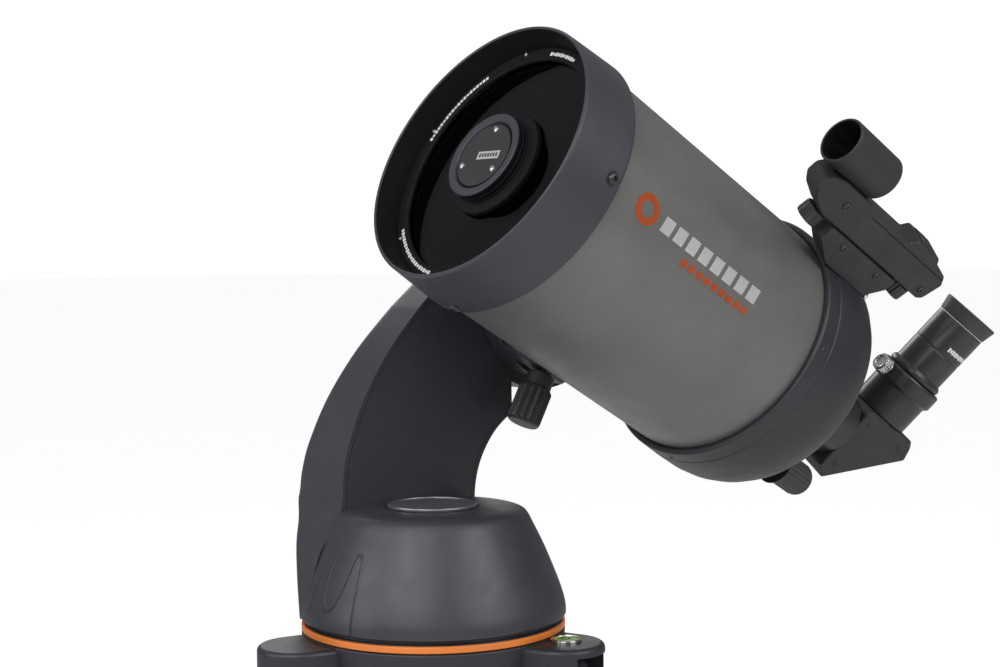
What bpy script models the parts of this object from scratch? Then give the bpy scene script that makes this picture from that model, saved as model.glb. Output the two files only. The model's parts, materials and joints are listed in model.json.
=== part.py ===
"""A Schmidt-Cassegrain telescope of 127 mm aperture on a single-arm mount and a folding tripod.

Lengths are in metres and angles in degrees. Four nested frames, made as empties, carry the parts:
tripod_axis (on the floor), mount_axis (top of the tripod), altitude_axis and tube_front, in which
+Z runs back along the tube from its front rim, +X is up from it and +Y is the side away from the arm.
"""

import math

import bmesh
import bpy
from mathutils import Matrix, Vector

MM = 0.001
CLEAR = 0.3 * MM

# Where the azimuth axis stands, so that the whole object is centred on the origin.
AXIS_X, AXIS_Y = 4.5 * MM, 28.7 * MM
MOUNT_HEIGHT = 640 * MM  # lower edge of the base ring above the floor

# Optical tube: distances run back from the front rim.
ALTITUDE = 29.2
TUBE_OFFSET = -79 * MM  # from the azimuth axis to the tube's, on the side away from the arm
ALT_X, ALT_Z = 108 * MM, 184 * MM
ALT_BACK = 160 * MM  # the altitude axis crosses the tube this far behind the rim

# Star diagonal and eyepiece, turned about the tube from straight up.
DIAGONAL_TURN = 32
EYE_BACK = 351 * MM
BARREL_R = 15.85 * MM

# Focus knob.
FOCUS_X, FOCUS_Y = -52 * MM, 17 * MM

# Red-dot finder.
FINDER_TURN = 47
HOOD_R, HOOD_HEIGHT = 13.6 * MM, 131 * MM

# Base and arm: heights are above the base ring's lower edge.
ARM_INNER = 27 * MM
ARM_ROUND = 12 * MM
ARM_WALL = 2.6 * MM
HEAD_R = 58.5 * MM

# Tripod.
LEG_TURNS = (50, 170, 290)
LEG_SPREAD = 22
HINGE_R, HINGE_DROP = 80 * MM, 22 * MM
STRUT_DOWN, STRUT_INSET = 300 * MM, 27 * MM  # the strut's pivot, down the leg and inward from its axis
STRUT_SLOPE = 30
STRUT_INNER_R = 38 * MM
LOBE_HALF = 23 * MM

FINE, MEDIUM, COARSE = 44, 24, 14  # steps round a turned part

COLORS = {  # base colour, roughness, metallic
    "satin_gunmetal": ((0.12, 0.12, 0.118), 0.4, 0.6),
    "satin_charcoal": ((0.035, 0.037, 0.045), 0.5, 0.0),
    "matte_black": ((0.018, 0.018, 0.019), 0.7, 0.0),
    "orange_paint": ((0.6, 0.17, 0.03), 0.45, 0.0),
    "cover_grey": ((0.14, 0.145, 0.155), 0.45, 0.0),
    "clear_glass": ((0.9, 0.94, 0.95), 0.05, 0.0),
    "mirror_coating": ((0.9, 0.9, 0.9), 0.05, 1.0),
    "bright_steel": ((0.6, 0.6, 0.6), 0.25, 1.0),
    "brass": ((0.65, 0.45, 0.18), 0.35, 1.0),
    "rubber": ((0.02, 0.02, 0.02), 0.85, 0.0),
    "level_fluid": ((0.3, 0.55, 0.12), 0.2, 0.0),
}


def clear_scene():
    for obj in list(bpy.data.objects):
        bpy.data.objects.remove(obj, do_unlink=True)


def make_collection(name, hidden=False):
    made = bpy.data.collections.new(name)
    bpy.context.scene.collection.children.link(made)
    made.hide_render = hidden
    return made


def material(part, kind):
    color, roughness, metallic = COLORS[kind]
    made = bpy.data.materials.new(f"{part}_{kind}")
    made.diffuse_color = (*color, 1)
    made.use_nodes = True
    shader = made.node_tree.nodes["Principled BSDF"]
    shader.inputs["Base Color"].default_value = (*color, 1)
    shader.inputs["Roughness"].default_value = roughness
    shader.inputs["Metallic"].default_value = metallic
    return made


def empty(name, parent, matrix):
    made = bpy.data.objects.new(name, None)
    made.empty_display_size = 0.05
    PARTS.objects.link(made)
    made.parent = parent
    made.matrix_basis = matrix
    return made


def turn(axis, degrees):
    return Matrix.Rotation(math.radians(degrees), 4, axis)


def move(x, y, z):
    return Matrix.Translation((x, y, z))


def add(name, mesh, frame, matrix, kind):
    """A part called name, placed by matrix in the frame. With no kind it is a cutter."""
    obj = bpy.data.objects.new(name, mesh)
    (PARTS if kind else CUTTERS).objects.link(obj)
    obj.parent = frame
    obj.matrix_basis = matrix
    if kind:
        obj.data.materials.append(material(name, kind))
    else:
        obj.hide_render = True
        obj.display_type = "WIRE"
    return obj


def signed_area(points):
    pairs = zip(points, points[1:] + points[:1])
    return sum(a[0] * b[1] - b[0] * a[1] for a, b in pairs) / 2


def turned(name, profile, frame, kind, matrix=Matrix(), steps=MEDIUM):
    """A profile of (radius, height) in millimetres turned about Z. One that reaches the axis is solid."""
    points = list(profile)
    if signed_area(points) > 0:
        points.reverse()
    solid = any(radius == 0 for radius, _ in points)
    while solid and not (points[0][0] == 0 and points[-1][0] == 0):
        points = points[1:] + points[:1]
    mesh = bpy.data.meshes.new(name)
    edges = [(i, i + 1) for i in range(len(points) - 1)]
    if not solid:
        edges.append((len(points) - 1, 0))
    mesh.from_pydata([(radius * MM, 0, height * MM) for radius, height in points], edges, [])
    obj = add(name, mesh, frame, matrix, kind)
    screw = obj.modifiers.new("Screw", "SCREW")
    screw.steps = screw.render_steps = steps
    screw.use_merge_vertices = True
    screw.merge_threshold = 0.00001
    screw.use_normal_calculate = False
    return obj


def arc(cx, cy, radius, start, end, count):
    """Points of a round stretch, in the units that it is given in."""
    angles = [math.radians(start + (end - start) * i / count) for i in range(count + 1)]
    return [(cx + radius * math.cos(a), cy + radius * math.sin(a)) for a in angles]


def box_mesh(name, size):
    mesh = bpy.data.meshes.new(name)
    bm = bmesh.new()
    bmesh.ops.create_cube(bm, size=1, matrix=Matrix.Diagonal((*size, 1)))
    bm.to_mesh(mesh)
    bm.free()
    return mesh


def box(name, size, frame, kind, matrix=Matrix()):
    return add(name, box_mesh(name, size), frame, matrix, kind)


def rod(name, radius, length, frame, kind, matrix=Matrix(), segments=24):
    """A cylinder along Z, centred on its origin."""
    mesh = bpy.data.meshes.new(name)
    bm = bmesh.new()
    bmesh.ops.create_cone(
        bm, cap_ends=True, segments=segments, radius1=radius, radius2=radius, depth=length
    )
    bm.to_mesh(mesh)
    bm.free()
    return add(name, mesh, frame, matrix, kind)


def plate(name, outline, thickness, frame, kind, matrix=Matrix()):
    """A flat outline of (x, y) in millimetres, thickened both ways along Z."""
    points = list(outline)
    if signed_area(points) < 0:
        points.reverse()
    mesh = bpy.data.meshes.new(name)
    bm = bmesh.new()
    bm.faces.new([bm.verts.new((x * MM, y * MM, 0)) for x, y in points])
    bm.to_mesh(mesh)
    bm.free()
    obj = add(name, mesh, frame, matrix, kind)
    solidify = obj.modifiers.new("Solidify", "SOLIDIFY")
    solidify.thickness = thickness
    solidify.offset = 0
    return obj


def bevel(obj, width, segments=2, angle=40):
    modifier = obj.modifiers.new("Bevel", "BEVEL")
    modifier.width = width
    modifier.segments = segments
    modifier.limit_method = "ANGLE"
    modifier.angle_limit = math.radians(angle)


def boolean(obj, other, operation):
    modifier = obj.modifiers.new("Boolean", "BOOLEAN")
    modifier.operation = operation
    modifier.solver = "EXACT"
    modifier.object = other


def cut(obj, *others):
    for other in others:
        boolean(obj, other, "DIFFERENCE")


def join(obj, *others):
    """The others become one solid with obj, and stay in the scene as helpers."""
    for other in others:
        boolean(obj, other, "UNION")


# ---------------------------------------------------------------- optical tube


def optical_tube(front):
    turned("main_tube", [(71.5, 24.6), (73, 24.6), (73, 216.6), (71.5, 216.6)], front,
           "satin_gunmetal", steps=FINE)
    turned(
        "front_cell",
        [
            (72.4, 0.6), (73.4, 0), (74.4, 1), (76.6, 34.3), (75.8, 35.8), (73.3, 35.8), (73.3, 24.3),
            (61.5, 24.3), (61.5, 21.6), (66.3, 21.6), (66.3, 17.2), (70.4, 17.2), (70.4, 14),
        ],
        front, "satin_charcoal", steps=FINE,
    )
    turned("retaining_ring", [(62.8, 15.4), (63.6, 14.6), (70, 14.6), (70, 16.9), (62.8, 16.9)], front,
           "matte_black", steps=FINE)
    turned("corrector_plate", [(22.4, 17.5), (65.9, 17.5), (65.9, 21.2), (22.4, 21.2)], front,
           "clear_glass")
    turned(
        "secondary_holder",
        [
            (0, 7.6), (19.2, 7.6), (20, 5.9), (23.9, 5.5), (24.6, 6.4), (24.6, 13.2), (29.4, 14), (30, 14.8),
            (30, 17.2), (22, 17.2), (22, 22.6), (0, 22.6),
        ],
        front, "matte_black",
    )
    turned(
        "secondary_mirror",
        [(0, 22.9), (24, 22.9), (25, 24), (25, 33), (23, 33), (23, 30), (0, 29)],
        front, "mirror_coating",
    )
    turned(
        "baffle_tube",
        [(17, 150), (19, 150), (19, 258), (31, 258), (31, 263), (23.6, 263), (23.6, 266), (17, 266)],
        front, "matte_black",
    )
    turned(
        "mirror_carrier",
        [(19.3, 226), (22.5, 226), (22.5, 239), (58, 239), (58, 242.5), (24, 244), (24, 250), (19.3, 250)],
        front, "bright_steel",
    )
    turned(
        "primary_mirror",
        [(22.9, 228.5), (45, 227), (65.5, 224), (65.5, 238.7), (22.9, 238.7)],
        front, "mirror_coating",
    )
    rear = turned(
        "rear_cell",
        [
            (73.3, 206.2), (76.2, 206.2), (77, 207.2), (77.6, 222), (77.6, 236), (76.4, 245), (73.8, 253),
            (70, 260), (65, 265.6), (58.5, 270), (52, 271.5), (24, 271.5), (24, 265.8), (34, 265.8),
            (52, 264), (64, 256), (71, 244), (71, 217), (73.3, 217),
        ],
        front, "satin_charcoal", steps=FINE,
    )
    shaft_hole = rod("focus_shaft_hole", 3.4 * MM, 40 * MM, front, None,
                     move(FOCUS_X, FOCUS_Y, 266 * MM), 16)
    cut(rear, shaft_hole)
    back = turned(
        "visual_back",
        [
            (16.2, 266.4), (23.7, 266.4), (23.7, 271.8), (28.5, 271.8), (28.5, 278), (23, 281), (23, 292),
            (21.4, 294), (21.4, 309), (20.4, 310.5), (16.2, 310.5),
        ],
        front, "satin_charcoal",
    )
    screw_place = turn("Z", -58) @ move(0, 0, 301 * MM) @ turn("Y", 90)
    cut(back, rod("visual_back_hole", 2.4 * MM, 16 * MM, front, None,
                  screw_place @ move(0, 0, 20 * MM), 16))
    thumb_screw("visual_back_screw", front, screw_place, 16.8, 24)
    turned(
        "focus_knob",
        [(0, 252), (3, 252), (3, 272.6), (9.4, 272.6), (10.2, 274), (10.2, 294), (8.8, 297), (0, 298)],
        front, "rubber", move(FOCUS_X, FOCUS_Y, 0), 32,
    )


def thumb_screw(name, frame, matrix, tip, head):
    """A knurled thumb screw along Z. The heights of its tip and of its head's underside are millimetres."""
    profile = [
        (0, tip), (2, tip), (2, head), (5.2, head), (5.8, head + 0.8), (5.8, head + 6.2), (5, head + 7),
        (0, head + 7),
    ]
    return turned(name, profile, frame, "bright_steel", matrix, 16)


def diagonal_and_eyepiece(front):
    eye = empty("eyepiece_axis", front, move(0, 0, EYE_BACK) @ turn("Z", DIAGONAL_TURN) @ turn("Y", 90))
    # In this frame +Z points to the eye, and -X runs back along the tube.
    turned(
        "diagonal_nose",
        [
            (14, 280), (BARREL_R / MM, 280), (BARREL_R / MM, 310.8), (20.5, 310.8), (21, 312), (21, 325.8),
            (14, 325.8),
        ],
        front, "bright_steel",
    )
    outline = [(24.7, 18), (21, 22), (-21.5, 22), (-25, 18), (-28.3, 9.5), (16.5, -30), (24.7, -24)]
    body = plate("diagonal_body", outline, 36 * MM, eye, "matte_black", turn("X", 90))
    bevel(body, 1.6 * MM)
    along = rod("diagonal_bore_front", 14 * MM, 40 * MM, eye, None, move(21 * MM, 0, 0) @ turn("Y", 90))
    upward = rod("diagonal_bore_eye", 14 * MM, 40 * MM, eye, None, move(0, 0, 20 * MM))
    cut(body, along, upward)
    rod("diagonal_mirror", 12 * MM, 2 * MM, eye, "mirror_coating",
        move(3 * MM, 0, 3 * MM) @ turn("Y", 45), 32)
    holder = turned(
        "eyepiece_holder",
        [(16.2, 22.3), (19, 22.3), (19, 41), (21.2, 43), (21.2, 51.6), (20.2, 52.8), (16.2, 52.8)],
        eye, "satin_charcoal",
    )
    screw_place = move(0, 0, 47.4 * MM) @ turn("Y", 90)
    cut(holder, rod("holder_screw_hole", 2.4 * MM, 16 * MM, eye, None,
                    screw_place @ move(0, 0, 20 * MM), 16))
    thumb_screw("holder_screw", eye, screw_place, 16.8, 23.4)
    turned(
        "eyepiece_body",
        [
            (12.5, 27), (BARREL_R / MM, 27), (BARREL_R / MM, 53.1), (18, 53.1), (18.4, 54), (18.4, 56),
            (16.5, 58), (16.5, 96), (13.5, 96), (13.5, 91), (0, 90), (0, 84), (12.5, 84),
        ],
        eye, "satin_charcoal",
    )
    turned(
        "eyecup",
        [(13.2, 96.3), (16.6, 96.3), (17, 98), (18.4, 105.4), (17.4, 106), (15.6, 104.5), (13.2, 99)],
        eye, "rubber",
    )


def finder(front):
    frame = empty("finder_frame", front, turn("Z", FINDER_TURN))
    # +X is out from the tube. The outlines are drawn in this frame's X and Z.
    side = turn("X", 90)  # takes an outline's (x, y) to the frame's (X, Z)
    bracket = plate(
        "finder_bracket",
        [(72, 212), (86, 187), (95.1, 187), (95.1, 250), (88, 250), (79, 244), (72, 240)],
        22 * MM, frame, "matte_black", side,
    )
    bevel(bracket, 1.2 * MM, 1)
    rear_clear = turned(
        "rear_cell_clearance",
        [(0, 200), (77.9, 200), (77.9, 236.2), (76.7, 245.2), (74.1, 253.2), (70.3, 260.2), (0, 262)],
        front, None, steps=FINE,
    )
    cut(bracket, rear_clear)
    body = plate(
        "finder_body",
        [
            (95.5, 174), (100, 163), (105, 157.5), (112, 157), (117, 161), (119, 168), (119, 192),
            (117, 197), (117, 234), (121.5, 237), (121.5, 258), (117, 262), (116, 272), (111, 276.5),
            (98, 275), (95.5, 272),
        ],
        19 * MM, frame, "matte_black", side,
    )
    bevel(body, 2 * MM)
    hood_axis = move(HOOD_HEIGHT, 0, 0)
    hood_room = rod("hood_clearance", HOOD_R + CLEAR, 80 * MM, frame, None,
                    hood_axis @ move(0, 0, 170 * MM), 40)
    cut(body, hood_room)
    turned(
        "finder_hood",
        [(11.9, 149), (13, 148.6), (13.6, 149.4), (13.6, 188), (12.8, 189), (11.9, 189)],
        frame, "matte_black", hood_axis, 24,
    )
    turned("finder_window", [(0, 181), (11.6, 181), (11.6, 183), (0, 183)], frame, "clear_glass",
           hood_axis, 28)
    knob = [(0, 0), (6.6, 0), (7.2, 0.8), (7.2, 8.2), (6.4, 9), (0, 9)]
    turned("finder_front_knob", knob, frame, "rubber",
           move(86.1 * MM, 0, 177 * MM) @ turn("Y", 90), 20)
    turned("finder_rear_knob", knob, frame, "rubber",
           move(86.1 * MM, 0, 262.6 * MM) @ turn("Y", 90), 20)
    turned("finder_switch", [(0, 0), (7, 0), (7, 2.6), (6.2, 3.4), (0, 3.4)], frame, "rubber",
           move(106 * MM, -9.8 * MM, 262 * MM) @ turn("X", 90), 20)


def saddle_parts(front):
    """The dovetail bar and the saddle stand on the arm's side of the tube, at -Y in its frame."""
    centre = move(0, 0, ALT_BACK)
    bar_face = -(73.4 + 15) * MM
    bar = box("dovetail_bar", (44 * MM, 15 * MM, 168 * MM), front, "satin_charcoal",
              move(0, bar_face + 7.5 * MM, 121 * MM))
    bevel(bar, 1 * MM, 1)
    inner = -(ARM_INNER - TUBE_OFFSET) + CLEAR
    plate_back = bar_face - 5 * MM
    saddle = turned(
        "saddle",
        [
            (0, inner / MM), (51, inner / MM), (52, inner / MM + 1), (52, plate_back / MM),
            (0, plate_back / MM),
        ],
        front, "satin_charcoal", centre @ turn("X", -90), MEDIUM,
    )
    block_height = 13.4 * MM
    block = box("saddle_block", (100 * MM, block_height, 46 * MM), front, None,
                centre @ move(0, plate_back - 1 * MM + block_height / 2, 0))
    bevel(block, 2 * MM, 1)
    groove = box("saddle_groove", (44.6 * MM, 20 * MM, 90 * MM), front, None,
                 centre @ move(0, bar_face - CLEAR + 10 * MM, 0))
    knob_place = centre @ move(-58 * MM, bar_face + 4.5 * MM, 5 * MM) @ turn("Y", -90)
    knob_hole = rod("saddle_knob_hole", 3.4 * MM, 50 * MM, front, None,
                    knob_place @ move(0, 0, -14 * MM), 16)
    join(saddle, block)
    cut(saddle, groove, knob_hole)
    turned(
        "saddle_knob",
        [(0, -30), (3, -30), (3, -6), (8.4, -6), (8.4, 2.4), (10.2, 4), (10.2, 24), (9, 26), (0, 26)],
        front, "rubber", knob_place, 32,
    )
    turned(
        "altitude_shaft",
        [(0, 106.6), (22, 106.6), (22, 109.4), (12, 109.4), (12, 134), (0, 134)],
        front, "bright_steel", centre @ turn("X", 90), 24,
    )
    # The shaft's flange stands in the arm cover's hole.
    turned(
        "altitude_gear",
        [(12.1, 116), (16, 116), (16, 119), (40, 119), (40, 127), (16, 127), (16, 129), (12.1, 129)],
        front, "brass", centre @ turn("X", 90), MEDIUM,
    )


# ---------------------------------------------------------------- mount


def smooth(points, count):
    """Points on a Catmull-Rom curve through the given ones, count to a stretch."""
    ends = [points[0], *points, points[-1]]
    made = []
    for i in range(1, len(ends) - 2):
        a, b, c, d = (Vector(p) for p in ends[i - 1:i + 3])
        for k in range(count):
            t = k / count
            p = b + 0.5 * t * (c - a + t * (2 * a - 5 * b + 4 * c - d + t * (3 * (b - c) + d - a)))
            made.append((p.x, p.y))
    return [*made, tuple(points[-1])]


def arm_outline():
    """The arm seen from the side, in millimetres of X and Z on the mount axis."""
    head_x, head_z, head_r = ALT_X / MM, ALT_Z / MM, HEAD_R / MM
    front = [
        (-66, 7), (-63.6, 26), (-58, 44), (-47, 58), (-42.4, 70), (-41.6, 84), (-38, 101), (-27, 127),
        (-9, 154), (14, 179),
    ]
    rear = [(82.6, 113), (70, 103.5), (61, 92), (55.5, 80), (53, 66), (54, 50), (60, 34), (66, 7)]
    head = arc(head_x, head_z, head_r, 132, -116, 22)
    return smooth(front, 3) + head + smooth(rear, 2)


def grown(outline, distance):
    """The outline with every point moved out by the distance, in the same units."""
    count = len(outline)
    flip = 1 if signed_area(outline) > 0 else -1
    made = []
    for i, point in enumerate(outline):
        before = Vector(point) - Vector(outline[i - 1])
        after = Vector(outline[(i + 1) % count]) - Vector(point)
        along = (before.normalized() + after.normalized()).normalized()
        spread = max(0.5, along.dot(after.normalized()))
        out = Vector((along.y, -along.x)) * flip * distance / spread
        made.append((point[0] + out.x, point[1] + out.y))
    return made


def arm_outer(height):
    """The arm's outer face, which leans in towards the top, at a height in millimetres."""
    return (79.5 - 0.15 * (height - 66)) * MM


def arm_mesh(name, inner, grow, rounding, inset):
    """The arm's outline drawn through in Y, from inner to inset short of its outer face, its edge rounded."""
    outline = grown(arm_outline(), grow)
    steps = 4
    rings = [(0, None)]
    for i in range(steps + 1):
        a = math.radians(90 * i / steps)
        rings.append((rounding * (1 - math.cos(a)), rounding * (1 - math.sin(a)) + inset))
    bm = bmesh.new()
    loops = []
    for shrink, depth in rings:
        shape = grown(outline, -shrink / MM)
        loops.append([
            bm.verts.new((x * MM, inner if depth is None else arm_outer(z) - depth, z * MM))
            for x, z in shape
        ])
    for low, high in zip(loops, loops[1:]):
        for i, corner in enumerate(low):
            j = (i + 1) % len(low)
            bm.faces.new((corner, low[j], high[j], high[i]))
    bm.faces.new(loops[0])
    bm.faces.new(loops[-1])
    bmesh.ops.recalc_face_normals(bm, faces=bm.faces)
    mesh = bpy.data.meshes.new(name)
    bm.to_mesh(mesh)
    bm.free()
    return mesh


def arm(mount):
    shell = add("arm_shell", arm_mesh("arm_shell", ARM_INNER, 0, ARM_ROUND, 0), mount, Matrix(),
                "satin_charcoal")
    limit = turned(
        "arm_limit",
        [(0, 7), (76, 7), (76, 50), (83, 68), (90, 90), (400, 110), (400, 400), (0, 400)],
        mount, None, steps=FINE,
    )
    boolean(shell, limit, "INTERSECT")
    inside = arm_mesh("arm_hollow", ARM_INNER - 5 * MM, -ARM_WALL / MM, ARM_ROUND - 3 * MM, 3.2 * MM)
    hollow = add("arm_hollow", inside, mount, Matrix(), None)
    above = box("arm_floor_cut", (400 * MM, 200 * MM, 100 * MM), mount, None, move(0, 0, 12 * MM))
    cut(hollow, above)
    base_hollow = turned(
        "base_hollow",
        [(0, 0), (67, 0), (66, 18), (61, 34), (53, 48), (44, 56), (0, 58)],
        mount, None,
    )
    cut(shell, hollow, base_hollow)
    cover = plate("arm_cover", grown(arm_outline(), -(ARM_WALL + CLEAR) / MM), 3 * MM, mount,
                  "satin_charcoal", move(0, ARM_INNER + 1.5 * MM, 0) @ turn("X", 90))
    cover_floor = box("arm_cover_cut", (400 * MM, 40 * MM, 100 * MM), mount, None,
                      move(0, ARM_INNER, 12 * MM + CLEAR))
    shaft_hole = rod("altitude_hole", 23 * MM, 30 * MM, mount, None,
                     move(ALT_X, ARM_INNER, ALT_Z) @ turn("X", 90), 40)
    cut(cover, cover_floor, shaft_hole)


def base(mount):
    outer = [
        (74.2, 6.8), (74.6, 7.6), (74.4, 13.3), (72.5, 22), (69.7, 31.5), (66.2, 42), (62.6, 49.6),
        (57.4, 57.2), (52, 62), (47.6, 64.6), (42, 65.8), (26.4, 66.8),
    ]
    ledge = [(26.2, 66.5), (23.4, 66.5), (23.4, 63)]
    inner = [(42, 61.6), (50, 57.4), (58, 49.6), (66, 33.5), (70.6, 16), (71, 6.8)]
    dome = turned("base_dome", outer + ledge + inner, mount, "satin_charcoal", steps=FINE)
    around_arm = arm_mesh("arm_room", ARM_INNER - CLEAR, CLEAR / MM, ARM_ROUND, -40 * MM)
    cut(dome, add("arm_room", around_arm, mount, Matrix(), None))
    turned(
        "battery_cover",
        [(0, 63.4), (23, 63.4), (23, 66.9), (25.2, 66.9), (25.4, 68), (24.6, 68.6), (0, 68.9)],
        mount, "cover_grey",
    )
    pack = box("battery_pack", (62 * MM, 46 * MM, 34 * MM), mount, "matte_black",
               move(-6 * MM, -4 * MM, 37 * MM))
    bevel(pack, 3 * MM)
    turned("base_floor", [(14.8, 15), (64, 15), (65, 17.6), (14.8, 17.6)], mount, "matte_black")


def fixed_base(mount):
    plate_part = turned(
        "base_plate",
        [
            (0, 0), (71.8, 0), (71.8, 3.9), (70.2, 4.4), (70.2, 6.4), (14, 6.4), (14, 14.4), (10, 14.4),
            (10, 19.4), (0, 19.4),
        ],
        mount, "matte_black", steps=FINE,
    )
    turned("trim_ring", [(72.1, 0.2), (73.6, 0), (74, 0.4), (74, 3.2), (73.4, 3.7), (72.1, 3.7)],
           mount, "orange_paint", steps=FINE)
    turned("azimuth_gear", [(14.4, 6.8), (52, 6.8), (52, 13), (14.4, 13)], mount, "brass")
    hole = rod("mount_bolt_hole", 5.4 * MM, 200 * MM, mount, None, move(0, 0, -88 * MM), 20)
    cut(plate_part, hole)
    hub = turned(
        "tripod_hub",
        [
            (0, -0.4), (73, -0.4), (74, -1.2), (72, -34), (68, -38), (60, -38), (58, -6), (20, -6),
            (20, -38), (0, -38),
        ],
        mount, "satin_charcoal", steps=FINE,
    )
    half = LOBE_HALF / MM
    lobe_outline = [(52, -half), *arc(82, 0, half, -90, 90, 10), (52, half)]
    for i, angle in enumerate(LEG_TURNS, 1):
        lobe = plate(f"hub_lobe_{i}", lobe_outline, 41 * MM, mount, None,
                     turn("Z", angle) @ move(0, 0, -21.6 * MM))
        bevel(lobe, 3 * MM, 2, 60)
        join(hub, lobe)
    for i, angle in enumerate(LEG_TURNS, 1):
        slot = box(f"hub_slot_{i}", (60 * MM, 31 * MM, 60 * MM), mount, None,
                   turn("Z", angle) @ move(HINGE_R + 4 * MM, 0, -HINGE_DROP - 14 * MM))
        cut(hub, slot)
    level_place = turn("Z", LEG_TURNS[-1]) @ move(84 * MM, 0, 0)
    seat = rod("level_seat", 8.6 * MM, 4 * MM, mount, None, level_place @ move(0, 0, -1 * MM))
    cut(hub, hole, seat)
    turned("bubble_level", [(0, -2.7), (8.3, -2.7), (8.3, 0.2), (7.6, 0.9), (0, 0.9)], mount,
           "level_fluid", level_place)
    turned(
        "mount_bolt",
        [(0, 5.2), (5, 5.2), (5, -38.6), (17, -38.6), (18, -40), (18, -50), (16, -53), (0, -53)],
        mount, "rubber",
    )


# ---------------------------------------------------------------- tripod


def leg(mount, number, angle):
    hinge = empty(f"leg_{number}_hinge", mount,
                  turn("Z", angle) @ move(HINGE_R, 0, -HINGE_DROP) @ turn("Y", -LEG_SPREAD))
    tube = turned(
        f"upper_leg_{number}",
        [
            (0, -34), (18, -34), (19, -36), (19, -452), (22.5, -455), (22.5, -497), (21.5, -500),
            (16.2, -500), (16.2, -60), (0, -60),
        ],
        hinge, "bright_steel", steps=20,
    )
    lug = plate(f"leg_lug_{number}", [*arc(0, 0, 11, 0, 180, 8), (-11, -40), (11, -40)], 30 * MM,
                hinge, None, turn("X", 90))
    ear = plate(f"strut_ear_{number}", [*arc(-27, -300, 6.5, 110, 250, 6), (-17, -309), (-17, -291)],
                7 * MM, hinge, None, turn("X", 90))
    join(tube, lug, ear)
    knob_place = move(0, 0, -478 * MM) @ turn("Y", 90)
    cut(tube, rod(f"lock_hole_{number}", 3.4 * MM, 12 * MM, hinge, None,
                  knob_place @ move(0, 0, 20 * MM), 16))
    turned(
        f"leg_lock_knob_{number}",
        [(0, 16.8), (3, 16.8), (3, 24), (12, 24), (13, 25.5), (13, 35), (11.5, 37), (0, 37)],
        hinge, "rubber", knob_place,
    )
    # The leg's axis meets the floor this far down it from the hinge.
    reach = (MOUNT_HEIGHT - HINGE_DROP) / MM / math.cos(math.radians(LEG_SPREAD))
    turned(
        f"lower_leg_{number}",
        [
            (13.6, -90), (15.8, -90), (15.8, -reach + 26), (12, -reach + 23), (0, -reach + 23),
            (0, -reach + 50), (13.6, -reach + 50),
        ],
        hinge, "bright_steel", steps=28,
    )
    foot = turned(
        f"foot_{number}",
        [
            (0, -reach + 22.6), (12, -reach + 22.6), (16.1, -reach + 25.6), (16.1, -reach + 60),
            (19, -reach + 60), (20, -reach + 56), (22, -reach + 10), (17, -reach - 12), (0, -reach - 12),
        ],
        hinge, "rubber", steps=28,
    )
    ground = box(f"ground_{number}", (200 * MM, 200 * MM, 80 * MM), mount, None,
                 turn("Z", angle) @ move(330 * MM, 0, -MOUNT_HEIGHT - 40 * MM))
    cut(foot, ground)
    strut(hinge, number)


def strut_pivot():
    """A strut's pivot on its leg: how far from the azimuth axis, and how far above the ring's lower edge."""
    spread = math.radians(LEG_SPREAD)
    out = HINGE_R - STRUT_INSET * math.cos(spread) + STRUT_DOWN * math.sin(spread)
    up = -HINGE_DROP - STRUT_INSET * math.sin(spread) - STRUT_DOWN * math.cos(spread)
    return out, up


def strut(hinge, number):
    """A flat bar from the leg to the centre bracket, laid beside the bracket's ear."""
    out, _ = strut_pivot()
    length = (out - STRUT_INNER_R) / math.cos(math.radians(STRUT_SLOPE)) / MM
    place = move(-STRUT_INSET, 6.4 * MM, -STRUT_DOWN) @ turn("Y", LEG_SPREAD + STRUT_SLOPE)
    outline = [*arc(0, 0, 7, -90, 90, 8), *arc(-length, 0, 7, 90, 270, 8)]
    plate(f"strut_{number}", outline, 5 * MM, hinge, "bright_steel", place @ turn("X", 90))


def bracket(mount):
    out, up = strut_pivot()
    centre = move(0, 0, up + (out - STRUT_INNER_R) * math.tan(math.radians(STRUT_SLOPE)))
    ear_outline = [(0, -9), (30, -7), *arc(STRUT_INNER_R / MM, 0, 7, -90, 90, 8), (30, 7), (0, 9)]
    body = turned("strut_bracket", [(0, -14), (16, -14), (18, -12), (18, 12), (16, 14), (0, 14)], mount,
                  "satin_charcoal", centre, 32)
    for i, angle in enumerate(LEG_TURNS, 1):
        ear = plate(f"bracket_ear_{i}", ear_outline, 7 * MM, mount, None,
                    centre @ turn("Z", angle) @ turn("X", 90))
        join(body, ear)


clear_scene()
PARTS = make_collection("schmidt_cassegrain_telescope")
CUTTERS = make_collection("cutters", hidden=True)
tripod_axis = empty("tripod_axis", None, move(AXIS_X, AXIS_Y, 0))
mount_axis = empty("mount_axis", tripod_axis, move(0, 0, MOUNT_HEIGHT))
altitude_axis = empty("altitude_axis", mount_axis,
                      move(ALT_X, TUBE_OFFSET, ALT_Z) @ turn("Y", ALTITUDE - 90) @ turn("X", 180))
tube_front = empty("tube_front", altitude_axis, move(0, 0, -ALT_BACK))
optical_tube(tube_front)
diagonal_and_eyepiece(tube_front)
finder(tube_front)
saddle_parts(tube_front)
arm(mount_axis)
base(mount_axis)
fixed_base(mount_axis)
for leg_number, leg_turn in enumerate(LEG_TURNS, 1):
    leg(mount_axis, leg_number, leg_turn)
bracket(mount_axis)
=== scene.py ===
"""The looks of the telescope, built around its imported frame.

Shapes are given in millimetres and degrees, and the lights, the camera and the floor in metres.

Four frames place the pieces: MOUNT (+Z up the azimuth axis, 0 at the base ring's lower edge), TUBE (+Z back
along the tube from its front rim, +X up from it, +Y away from the arm), EYE (+Z to the eye, -X back along the
tube) and FINDER (TUBE turned about its axis, so that +X points out to the finder).
"""

import json
import math

import bmesh
import bpy
from mathutils import Matrix, Vector

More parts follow.
